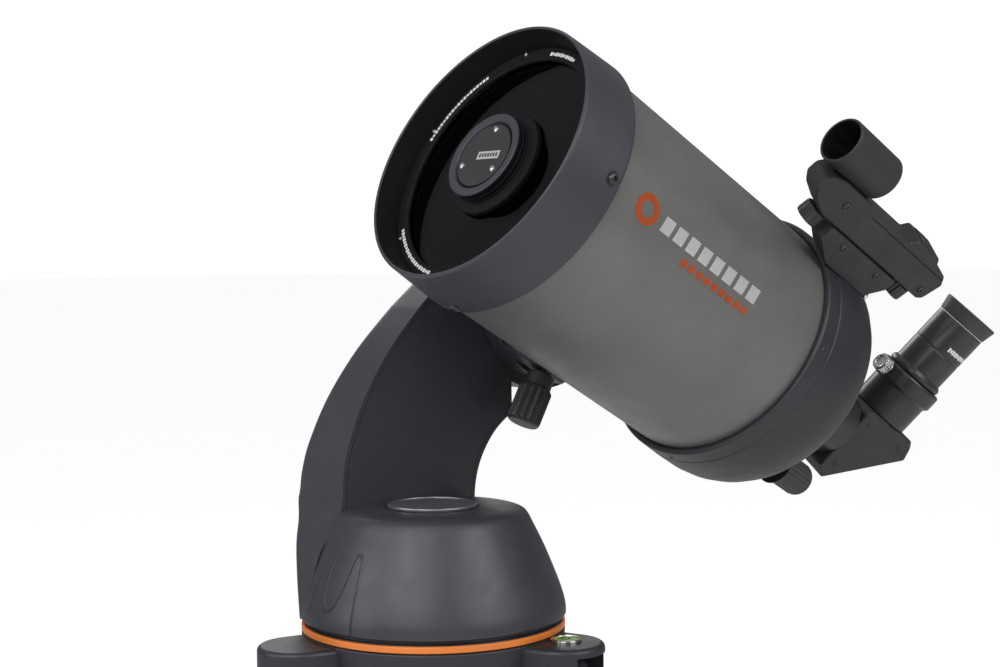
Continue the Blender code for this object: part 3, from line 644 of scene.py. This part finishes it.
def finder():
    body = "optical_tube"
    upright = turn("X", 90)
    bracket = slab([(72, 212), (86, 187), (95.1, 187), (95.1, 250), (88, 250), (79, 244), (72, 240)], 22, 1.2,
                   3, 0.8)
    bracket.transform(upright)
    clear = lathe([(0, 200), (77.9, 200), (77.9, 236.2), (76.7, 245.2), (74.1, 253.2), (70.3, 260.2),
                   (0, 262)], 160, 0)
    clear.transform(turn("Z", -FINDER_TURN))
    carved_piece("finder_bracket_skin", bracket, [("DIFFERENCE", clear)], FINDER, BLACK, body,
                 "finder_bracket")
    case = slab(
        [
            (95.5, 174), (100, 163), (105, 157.5), (112, 157), (117, 161), (119, 168), (119, 192), (117, 197),
            (117, 234), (121.5, 237), (121.5, 258), (117, 262), (116, 272), (111, 276.5), (98, 275),
            (95.5, 272),
        ],
        19, 1.6, 4, 1.4,
    )
    case.transform(upright)
    hood_room = placed(lathe([(0, 130), (13.9, 130), (13.9, 210), (0, 210)], 96, 0), move(SIGHT_OUT, 0, 0))
    cuts = [("DIFFERENCE", hood_room)]
    for side in (1, -1):
        groove = placed(block((1.1, 1.4, 74), 0.2, 1), move(113.6, 9.5 * side, 236))
        cuts.append(("DIFFERENCE", groove))
    carved_piece("finder_case_skin", case, cuts, FINDER, BLACK, body, "finder_body")
    turned("finder_hood_skin", [(11.9, 149), (13, 148.6), (13.6, 149.4), (13.6, 188), (12.8, 189),
                                (11.9, 189)],
           FINDER @ move(SIGHT_OUT, 0, 0), BLACK, body, "finder_hood", steps=128, radius=0.35,
           second=FLAT_BLACK_AND_SHADE, inner=lambda r, z: r < 12.3)
    turned("finder_window_skin", [(0, 181), (11.6, 181), (11.6, 183), (0, 183)],
           FINDER @ move(SIGHT_OUT, 0, 0), GLASS, body, "finder_window", steps=96, radius=0.2)
    knob = [(0, 0), (6.6, 0), (7.2, 0.8), (7.2, 8.2), (6.4, 9), (0, 9)]
    for which, back in (("front", 177), ("rear", 262.6)):
        turned(f"finder_{which}_knob_skin", knob, FINDER @ move(86.1, 0, back) @ turn("Y", 90), SATIN,
               f"finder_{which}_knob", f"finder_{which}_knob", radius=0.5, ribs=18, depth=0.5,
               rib_span=(0.7, 8.3))
    turned("finder_switch_skin", [(0, 0), (7, 0), (7, 2.6), (6.2, 3.4), (0, 3.4)],
           FINDER @ move(106, -9.8, 262) @ turn("X", 90), SATIN, "finder_switch", "finder_switch", radius=0.4,
           ribs=24, depth=0.35, rib_span=(0.2, 2.8))
    for i, (x, z, size) in enumerate(((108.5, 181, 2.6), (90.5, 203, 2.2), (90.5, 236, 2.2),
                                      (101, 268, 1.8))):
        deep = 9.5 if x > 95 else 11
        for side in (1, -1):
            if side < 0 and z > 260:
                continue
            spot = FINDER @ move(x, deep * side, z) @ turn("X", -90 * side)
            piece(f"finder_screw_{i}_{side + 1}", finished(screw_head(size, 1.1), "finder_screw", spot),
                  SATIN, body)
    lamp = FINDER @ move(121.4, 0, 246)
    slot_frame = merged([(block((1.4, 11, 3.4), 0.3, 2), move(0, 0, 3.4)),
                         (block((1.4, 11, 3.4), 0.3, 2), move(0, 0, -3.4)),
                         (block((1.4, 3, 10), 0.3, 2), move(0, 5, 0)),
                         (block((1.4, 3, 10), 0.3, 2), move(0, -5, 0))])
    piece("finder_lamp_frame", finished(slot_frame, "finder_lamp_frame", lamp), BLACK, body)
    piece("finder_lamp_slot", finished(block((0.8, 6.4, 2.2), 0.2, 2), "finder_lamp_slot", lamp), CHROME,
          body)
    foot_screw = FINDER @ move(75.6, 4.5, 249) @ turn("Y", 30)
    piece("finder_foot_screw", finished(screw_head(2.2, 2.2), "finder_foot_screw", foot_screw), CHROME, body)


# ---------------------------------------------------------------- saddle, arm and base


def saddle():
    body = "optical_tube"
    bar = block((44, 15, 168), 1.2, 3)
    piece("dovetail_skin", finished(bar, "dovetail_skin", TUBE @ move(0, -80.9, 121)), CHARCOAL, body,
          "dovetail_bar")
    disc = lathe([(0, -105.7), (51, -105.7), (52, -104.7), (52, -93.4), (0, -93.4)], 128, 0.8)
    disc.transform(turn("X", -90))
    jaw = placed(block((100, 13.4, 46), 2.4, 4), move(0, -87.7, 0))
    groove = placed(block((44.6, 20, 90), 0), move(0, -78.7, 0))
    carved_piece("saddle_skin", disc, [("UNION", jaw), ("DIFFERENCE", groove)], TUBE @ move(0, 0, ALT_BACK),
                 CHARCOAL, body, "saddle")
    knob_place = TUBE @ move(-58, -83.9, 165) @ turn("Y", -90)
    turned("saddle_knob_skin", [(0, -30), (3, -30), (3, -6), (8.4, -6), (8.4, 2.4), (10.2, 4), (10.2, 24),
                                (9, 26), (0, 26)],
           knob_place, RUBBER, "saddle_knob", "saddle_knob", radius=1.0, ribs=16, depth=1.1,
           rib_span=(3.6, 24.6))
    centre = TUBE @ move(0, 0, ALT_BACK) @ turn("X", 90)
    turned("altitude_shaft_skin", [(0, 106.6), (22, 106.6), (22, 109.4), (12, 109.4), (12, 134), (0, 134)],
           centre, STEEL, body, "altitude_shaft", steps=96, radius=0.4)
    turned("altitude_gear_skin", [(12.1, 116), (16, 116), (16, 119), (40, 119), (40, 127), (16, 127),
                                  (16, 129), (12.1, 129)],
           centre, BRASS, body, "altitude_gear", steps=96, radius=0.4)


ARM_INNER = 27  # the Y of the arm's inner face
ARM_OUTER, ARM_LEAN = 79.5, 0.15  # the Y of its outer face at Z 66, and how far it leans in for each mm above
ALT_X, ALT_Z = 108, 184  # the altitude axis in the mount's frame


def arm_outline():
    front = [
        (-66, 7), (-63.6, 26), (-58, 44), (-47, 58), (-42.4, 70), (-41.6, 84), (-38, 101), (-27, 127),
        (-9, 154), (14, 179),
    ]
    rear = [(82.6, 113), (70, 103.5), (61, 92), (55.5, 80), (53, 66), (54, 50), (60, 34), (66, 7)]
    return smooth(front, 6) + arc(ALT_X, ALT_Z, 58.5, 132, -116, 60) + smooth(rear, 6)


def arm_solid(inner, grow, rounding, inset):
    """A bmesh of the arm's outline drawn through in Y, from inner to inset short of its outer face."""
    outline = grown(arm_outline(), grow)
    steps = 9
    rings = [(0, None)]
    for i in range(steps + 1):
        a = math.radians(90 * i / steps)
        rings.append((rounding * (1 - math.cos(a)), rounding * (1 - math.sin(a)) + inset))
    bm = bmesh.new()
    loops = []
    for shrink, depth in rings:
        loop = []
        for x, z in grown(outline, -shrink):
            y = inner if depth is None else ARM_OUTER - ARM_LEAN * (z - 66) - depth
            loop.append(bm.verts.new((x * MM, y * MM, z * MM)))
        loops.append(loop)
    for low, high in zip(loops, loops[1:]):
        for i, corner in enumerate(low):
            j = (i + 1) % len(low)
            bm.faces.new((corner, low[j], high[j], high[i]))
    bm.faces.new(loops[0])
    bm.faces.new(loops[-1])
    bmesh.ops.recalc_face_normals(bm, faces=bm.faces)
    return bm


def arm_limit(inset):
    """A bmesh of the space that the arm keeps within, so that its foot meets the dome's round base."""
    edge = [(75, 7), (75.8, 22), (76.4, 36), (77.6, 49), (80.6, 61), (85.5, 73), (92, 84), (102, 95)]
    edge = [(radius - inset, height) for radius, height in smooth(edge, 4)]
    return lathe([(0, 7), *edge, (400, 120 + inset), (400, 400), (0, 400)], 192, 0)


def arm():
    hollow = arm_solid(ARM_INNER - 5, -2.6, 9, 3.2)
    floor_cut = placed(block((400, 200, 100), 0), move(0, 0, 12))
    hollow_mesh = carved("hollow", hollow, [("DIFFERENCE", floor_cut), ("INTERSECT", arm_limit(3))])
    hollow = bmesh.new()
    hollow.from_mesh(hollow_mesh)
    base_hollow = lathe([(0, 0), (67, 0), (66, 18), (61, 34), (53, 48), (44, 56), (0, 58)], 96, 0)
    carved_piece("arm_skin", arm_solid(ARM_INNER, 0, 12, 0),
                 [("INTERSECT", arm_limit(0)), ("DIFFERENCE", hollow), ("DIFFERENCE", base_hollow)],
                 MOUNT, SHELL, "mount", "arm_shell")
    cover = slab(grown(arm_outline(), -2.9), 3, 0.4, 2)
    cover.transform(move(0, ARM_INNER + 1.5, 0) @ turn("X", 90))
    cover_floor = placed(block((400, 40, 100), 0), move(0, ARM_INNER, 12.3))
    hole = lathe([(0, -20), (23, -20), (23, 20), (0, 20)], 96, 0)
    hole.transform(move(ALT_X, ARM_INNER, ALT_Z) @ turn("X", 90))
    carved_piece("arm_cover_skin", cover, [("DIFFERENCE", cover_floor), ("DIFFERENCE", hole)], MOUNT, SHELL,
                 "mount", "arm_cover")


def bar_along(points, radius, sides=8):
    """A bmesh of a round bar with flat ends through the given points, in millimetres."""
    bm = bmesh.new()
    rings = []
    for i, point in enumerate(points):
        here = Vector(point)
        along = (Vector(points[min(i + 1, len(points) - 1)]) - Vector(points[max(i - 1, 0)])).normalized()
        side = along.cross(Vector((here.x, here.y, 30))).normalized()
        out = side.cross(along)
        ring = []
        for k in range(sides):
            a = 2 * math.pi * k / sides
            ring.append(bm.verts.new((here + side * radius * math.cos(a) + out * radius * math.sin(a)) * MM))
        rings.append(ring)
    for low, high in zip(rings, rings[1:]):
        for k in range(sides):
            bm.faces.new((low[k], low[(k + 1) % sides], high[(k + 1) % sides], high[k]))
    bm.faces.new(rings[0])
    bm.faces.new(rings[-1])
    bmesh.ops.recalc_face_normals(bm, faces=bm.faces)
    return bm


DOME = [
    (74.2, 6.8), (74.6, 7.6), (74.2, 13.3), (71.7, 22), (68.1, 31.5), (63.8, 42), (60.3, 49.6), (56.3, 57.6),
    (54.2, 61.8), (51.8, 64.8), (47.4, 66.4), (42, 66.8), (26.4, 66.9),
]

# The decorative groove, as degrees about the mount's axis and heights.
DOME_GROOVE = [
    (165.5, 14), (167.2, 30), (170.6, 44), (172.4, 47.6), (174, 45), (174.2, 34), (175.6, 23.5), (179.5, 18),
    (183.4, 18.6), (186.4, 25), (188.6, 33), (191, 45), (192.9, 48), (194.9, 45), (195.6, 34), (196, 20),
    (196, 5),
]


def on_dome(degrees, height):
    for (r0, z0), (r1, z1) in zip(DOME, DOME[1:]):
        if height <= z1:
            break
    radius = r0 + (r1 - r0) * max(0, height - z0) / (z1 - z0) + 0.15
    a = math.radians(degrees)
    return radius * math.cos(a), radius * math.sin(a), height


def dome():
    skin = smooth(DOME[1:], 4)
    ledge = [(26.2, 66.5), (23.4, 66.5), (23.4, 63)]
    inside = [(42, 61.6), (50, 57.4), (58, 49.6), (66, 33.5), (70.6, 16), (71, 6.8)]
    shape = lathe([DOME[0], *skin, *ledge, *inside], 192, 0.3)
    groove = bar_along([on_dome(*point) for point in smooth(DOME_GROOVE, 5)], 0.9)
    tools = [("DIFFERENCE", arm_solid(ARM_INNER - 0.3, 0.3, 12, -40)), ("DIFFERENCE", groove)]
    carved_piece("dome_skin", shape, tools, MOUNT, SHELL, "mount", "base_dome", sharp=30, knotted=True)


def base():
    dome()
    turned("battery_cover_skin", [(0, 63.4), (23, 63.4), (23, 66.9), (25.2, 66.9), (25.4, 68), (24.6, 68.6),
                                  (24, 68.2), (0, 68.2)],
           MOUNT, COVER, "battery_cover", "battery_cover", steps=144, radius=0.2)
    turned("battery_cover_rim", [(24.0, 68.0), (25.2, 67.8), (25.2, 68.7), (24.7, 68.9), (24.0, 68.7)], MOUNT,
           ALUMINIUM, "battery_cover", steps=144, radius=0.15)
    pack = block((62, 46, 34), 3, 3)
    piece("battery_pack_skin", finished(pack, "battery_pack_skin", MOUNT @ move(-6, -4, 37)), BLACK, "mount",
          "battery_pack")
    turned("base_floor_skin", [(14.8, 15), (64, 15), (65, 17.6), (14.8, 17.6)], MOUNT, BLACK, "mount",
           "base_floor", steps=96)
    head = "tripod_head"
    turned(
        "base_plate_skin",
        [
            (5.4, 0), (71.8, 0), (71.8, 3.9), (70.2, 4.4), (70.2, 6.4), (14, 6.4), (14, 14.4), (10, 14.4),
            (10, 19.4), (5.4, 19.4),
        ],
        MOUNT, SATIN, head, "base_plate", steps=160, radius=0.3,
    )
    turned("trim_ring_skin", [(72.1, 0.2), (73.6, 0), (74, 0.4), (74, 3.2), (73.4, 3.7), (72.1, 3.7)], MOUNT,
           ORANGE, head, "trim_ring", steps=192, radius=0.4)
    turned("azimuth_gear_skin", [(14.4, 6.8), (52, 6.8), (52, 13), (14.4, 13)], MOUNT, BRASS, head,
           "azimuth_gear", steps=96)
    hub()


def hub():
    head = "tripod_head"
    shape = lathe(
        [
            (0, -0.4), (73, -0.4), (74, -1.2), (72, -34), (68, -38), (60, -38), (58, -6), (20, -6), (20, -38),
            (0, -38),
        ],
        160, 0.8,
    )
    tools = []
    for angle in LEG_TURNS:
        lobe = slab([(52, -23), *arc(82, 0, 23, -90, 90, 28), (52, 23)], 41, 3, 4)
        lobe.transform(turn("Z", angle) @ move(0, 0, -21.6))
        tools.append(("UNION", lobe))
    for angle in LEG_TURNS:
        slot = block((60, 31, 60), 0)
        slot.transform(turn("Z", angle) @ move(84, 0, -36))
        tools.append(("DIFFERENCE", slot))
    bolt_hole = lathe([(0, -60), (5.4, -60), (5.4, 10), (0, 10)], 48, 0)
    level_place = turn("Z", LEG_TURNS[-1]) @ move(84, 0, 0)
    seat = lathe([(0, -3), (8.6, -3), (8.6, 1), (0, 1)], 64, 0)
    seat.transform(level_place)
    carved_piece("hub_skin", shape, [*tools, ("DIFFERENCE", bolt_hole), ("DIFFERENCE", seat)], MOUNT, DARK_AND_SHADED_CHARCOAL,
                 head, "tripod_hub")
    level = MOUNT @ level_place
    turned("level_skin", [(0, -2.7), (7.4, -2.7), (7.4, 0.1), (6, 0.55), (0, 0.8)], level, FLUID, head,
           "bubble_level", steps=72, radius=0.2)
    turned("level_rim", [(6.6, -2.6), (8.4, -2.6), (8.4, 0.5), (7.9, 0.9), (6.8, 0.8)], level, CHROME, head,
           steps=72, radius=0.2)
    turned("level_ring", [(2.3, 0.6), (2.8, 0.6), (2.8, 0.95), (2.3, 0.95)], level, SATIN, head, steps=48,
           radius=0.05)
    for i, angle in enumerate(LEG_TURNS, 1):
        for side in (1, -1):
            spot = MOUNT @ turn("Z", angle) @ move(HINGE_OUT, 22.6 * side, HINGE_UP) @ turn("X", -90 * side)
            cap = [(0, -0.5), (9, -0.5), (9, 1.6), (8.2, 2.4), (5.6, 2.4), (5.2, 1.4), (3.4, 1.4), (3, 2.2),
                   (0, 2.2)]
            turned(f"hinge_cap_{i}_{side + 1}", cap, spot, SATIN, head, steps=64, radius=0.3)
        pin = lathe([(0, -22), (4, -22), (4, 22), (0, 22)], 32, 0.2)
        spot = MOUNT @ turn("Z", angle) @ move(HINGE_OUT, 0, HINGE_UP) @ turn("X", 90)
        piece(f"hinge_pin_{i}", finished(pin, "hinge_pin", spot), STEEL, head)
    turned("mount_bolt_skin", [(0, 5.2), (5, 5.2), (5, -38.6), (17, -38.6), (18, -40), (18, -50), (16, -53),
                               (0, -53)],
           MOUNT, RUBBER, "mount_bolt", "mount_bolt", radius=0.8, ribs=20, depth=0.9, rib_span=(-50.5, -39.5))


# ---------------------------------------------------------------- tripod


def legs():
    reach = HINGE_HEIGHT / math.cos(math.radians(LEG_SPREAD))
    upright = turn("X", 90)
    for i, angle in enumerate(LEG_TURNS, 1):
        hinge = MOUNT @ turn("Z", angle) @ move(HINGE_OUT, 0, HINGE_UP) @ turn("Y", -LEG_SPREAD)
        upper = lathe([(0, -34), (18, -34), (19, -36), (19, -462), (16.2, -462), (16.2, -60), (0, -60)], 72,
                      0.8)
        piece(f"leg_{i}_tube", finished(upper, "leg_tube", hinge), STEEL, f"leg_{i}", f"upper_leg_{i}")
        fittings = [
            (slab([*arc(0, 0, 11, 0, 180, 20), (-11, -40), (11, -40)], 30, 1, 3), upright),
            (lathe([(16.2, -452), (21, -452), (22.5, -455), (22.5, -497), (21.5, -500), (16.2, -500)], 72,
                   0.8), Matrix()),
            (lathe([(19.1, -30), (20.6, -31), (20.6, -58), (19.1, -59), (17.5, -59), (17.5, -30)], 72, 0.6),
             Matrix()),
            (slab([*arc(-27, -300, 6.5, 110, 250, 14), (-17, -309), (-17, -291)], 7, 0.8, 2), upright),
            (lathe([(19.05, -288), (20.6, -288), (20.6, -312), (19.05, -312)], 72, 0.5), Matrix()),
        ]
        piece(f"leg_{i}_fittings", finished(merged(fittings), "leg_fittings", hinge), SHELL, f"leg_{i}")
        knob = hinge @ move(0, 0, -478) @ turn("Y", 90)
        turned(f"leg_{i}_knob_skin", [(0, 16.8), (3, 16.8), (3, 24), (12, 24), (13, 25.5), (13, 35),
                                      (11.5, 37), (0, 37)],
               knob, RUBBER, f"leg_{i}_lock", f"leg_lock_knob_{i}", radius=1.0, ribs=12, depth=1.4,
               rib_span=(25, 35.5))
        turned(f"lower_leg_{i}_skin",
               [(13.6, -90), (15.8, -90), (15.8, 26 - reach), (12, 23 - reach), (0, 23 - reach),
                (0, 50 - reach), (13.6, 50 - reach)],
               hinge, STEEL, f"leg_{i}_lower", f"lower_leg_{i}", steps=72, radius=0.4)
        foot = lathe(
            [
                (0, 22.6 - reach), (12, 22.6 - reach), (16.1, 25.6 - reach), (16.1, 60 - reach),
                (19, 60 - reach), (20, 56 - reach), (22, 10 - reach), (17, -12 - reach), (0, -12 - reach),
            ],
            96, 1.5,
        )
        foot.transform(MOUNT.inverted() @ hinge)
        ground = block((200, 200, 80), 0)
        ground.transform(turn("Z", angle) @ move(330, 0, HINGE_UP - HINGE_HEIGHT - 40))
        carved_piece(f"foot_{i}_skin", foot, [("DIFFERENCE", ground)], MOUNT, RUBBER, f"leg_{i}_lower",
                     f"foot_{i}")
        strut(hinge, i)
    bracket()


def strut_pivot():
    """How far out and up from the mount's origin a strut's pin is."""
    spread = math.radians(LEG_SPREAD)
    return (HINGE_OUT - STRUT_IN * math.cos(spread) + STRUT_DOWN * math.sin(spread),
            HINGE_UP - STRUT_IN * math.sin(spread) - STRUT_DOWN * math.cos(spread))


def strut(hinge, i):
    out, _ = strut_pivot()
    length = (out - EAR_OUT) / math.cos(math.radians(STRUT_SLOPE))
    spot = hinge @ move(-STRUT_IN, 6.4, -STRUT_DOWN) @ turn("Y", LEG_SPREAD + STRUT_SLOPE)
    bar = slab([*arc(0, 0, 7, -90, 90, 18), *arc(-length, 0, 7, 90, 270, 18)], 5, 0.8, 3)
    bar.transform(turn("X", 90))
    rivets = [(screw_head(3.2, 1.4), move(x, 2.4, 0) @ turn("X", -90)) for x in (0, -length)]
    piece(f"strut_{i}_skin", finished(merged([(bar, Matrix()), *rivets]), "strut", spot), STEEL, f"strut_{i}",
          f"strut_{i}")


def bracket():
    out, up = strut_pivot()
    centre = move(0, 0, up + (out - EAR_OUT) * math.tan(math.radians(STRUT_SLOPE)))
    ear = [(0, -9), (30, -7), *arc(EAR_OUT, 0, 7, -90, 90, 18), (30, 7), (0, 9)]
    tools = []
    for angle in LEG_TURNS:
        arm_of = slab(ear, 7, 0.8, 3)
        arm_of.transform(turn("Z", angle) @ turn("X", 90))
        tools.append(("UNION", arm_of))
    boss = lathe([(0, -14), (16, -14), (18, -12), (18, 12), (16, 14), (0, 14)], 96, 0.8)
    carved_piece("bracket_skin", boss, tools, MOUNT @ centre, SHELL, "strut_bracket", "strut_bracket")


# ---------------------------------------------------------------- stage


def stage():
    floor = bpy.data.meshes.new("floor")
    half = 60
    floor.from_pydata([(-half, -half, 0), (half, -half, 0), (half, half, 0), (-half, half, 0)], [],
                      [(0, 1, 2, 3)])
    obj = bpy.data.objects.new("floor", floor)
    bpy.context.scene.collection.objects.link(obj)
    pale = bpy.data.materials.new("floor_look")
    pale.use_nodes = True
    nodes, links = pale.node_tree.nodes, pale.node_tree.links
    shader = nodes["Principled BSDF"]
    shader.inputs["Base Color"].default_value = (0.86, 0.86, 0.86, 1)
    shader.inputs["Roughness"].default_value = 0.9
    shader.inputs["Emission Color"].default_value = (1, 1, 1, 1)
    seen = nodes.new("ShaderNodeLightPath")
    glow = nodes.new("ShaderNodeMath")
    glow.operation = "MULTIPLY"
    glow.inputs[1].default_value = 0.72
    links.new(seen.outputs["Is Camera Ray"], glow.inputs[0])
    links.new(glow.outputs[0], shader.inputs["Emission Strength"])
    floor.materials.append(pale)


def world():
    made = bpy.data.worlds.new("studio")
    made.use_nodes = True
    nodes, links = made.node_tree.nodes, made.node_tree.links
    nodes.clear()
    seen = nodes.new("ShaderNodeLightPath")
    backdrop = nodes.new("ShaderNodeBackground")
    backdrop.inputs["Color"].default_value = (1, 1, 1, 1)
    backdrop.inputs["Strength"].default_value = 1.05
    room = nodes.new("ShaderNodeBackground")
    room.inputs["Strength"].default_value = 0.36
    coords = nodes.new("ShaderNodeTexCoord")
    split = nodes.new("ShaderNodeSeparateXYZ")
    ramp = nodes.new("ShaderNodeValToRGB")
    ramp.color_ramp.elements[0].position = 0.0
    ramp.color_ramp.elements[0].color = (0.05, 0.05, 0.055, 1)
    ramp.color_ramp.elements[1].position = 1.0
    ramp.color_ramp.elements[1].color = (1, 1, 1, 1)
    height = nodes.new("ShaderNodeMapRange")
    height.inputs["From Min"].default_value = -0.5
    height.inputs["From Max"].default_value = 1.0
    links.new(coords.outputs["Generated"], split.inputs[0])
    links.new(split.outputs["Z"], height.inputs["Value"])
    links.new(height.outputs["Result"], ramp.inputs["Fac"])
    links.new(ramp.outputs["Color"], room.inputs["Color"])
    mix = nodes.new("ShaderNodeMixShader")
    links.new(seen.outputs["Is Camera Ray"], mix.inputs["Fac"])
    links.new(room.outputs[0], mix.inputs[1])
    links.new(backdrop.outputs[0], mix.inputs[2])
    out = nodes.new("ShaderNodeOutputWorld")
    links.new(mix.outputs[0], out.inputs["Surface"])
    bpy.context.scene.world = made


def area_light(name, spot, target, size, power):
    data = bpy.data.lights.new(name, "AREA")
    data.shape = "RECTANGLE"
    data.size, data.size_y = size
    data.energy = power
    obj = bpy.data.objects.new(name, data)
    bpy.context.scene.collection.objects.link(obj)
    obj.location = spot
    obj.rotation_euler = (Vector(target) - Vector(spot)).to_track_quat("-Z", "Y").to_euler()


def camera():
    data = bpy.data.cameras.new("camera")
    data.lens = 62.87
    data.sensor_width = 36
    data.clip_end = 200
    obj = bpy.data.objects.new("camera", data)
    bpy.context.scene.collection.objects.link(obj)
    right, up = Vector((0.7629, -0.6465, -0.0082)), Vector((0.0363, 0.0302, 0.9989))
    back = right.cross(up).normalized()
    right = up.cross(back).normalized()
    matrix = Matrix((right, back.cross(right), back)).transposed().to_4x4()
    matrix.translation = (-0.5962, -0.7406, 0.8491)
    obj.matrix_world = matrix
    bpy.context.scene.camera = obj


optical_tube()
tube_marks()
diagonal_and_eyepiece()
finder()
saddle()
arm()
base()
legs()
stage()
world()
area_light("key", (-1.7, -0.9, 2.1), (0, 0, 0.8), (1.5, 1.5), 30)
area_light("fill", (0.5, -2.1, 1.9), (0, 0, 0.7), (1.6, 1.4), 28)
area_light("side", (-2.0, 0.7, 1.5), (0, 0, 0.7), (1.2, 1.4), 16)
area_light("rim", (0.9, 1.5, 1.9), (0, 0, 0.8), (1.2, 1.0), 12)
camera()
bpy.context.scene.view_settings.view_transform = "Standard"
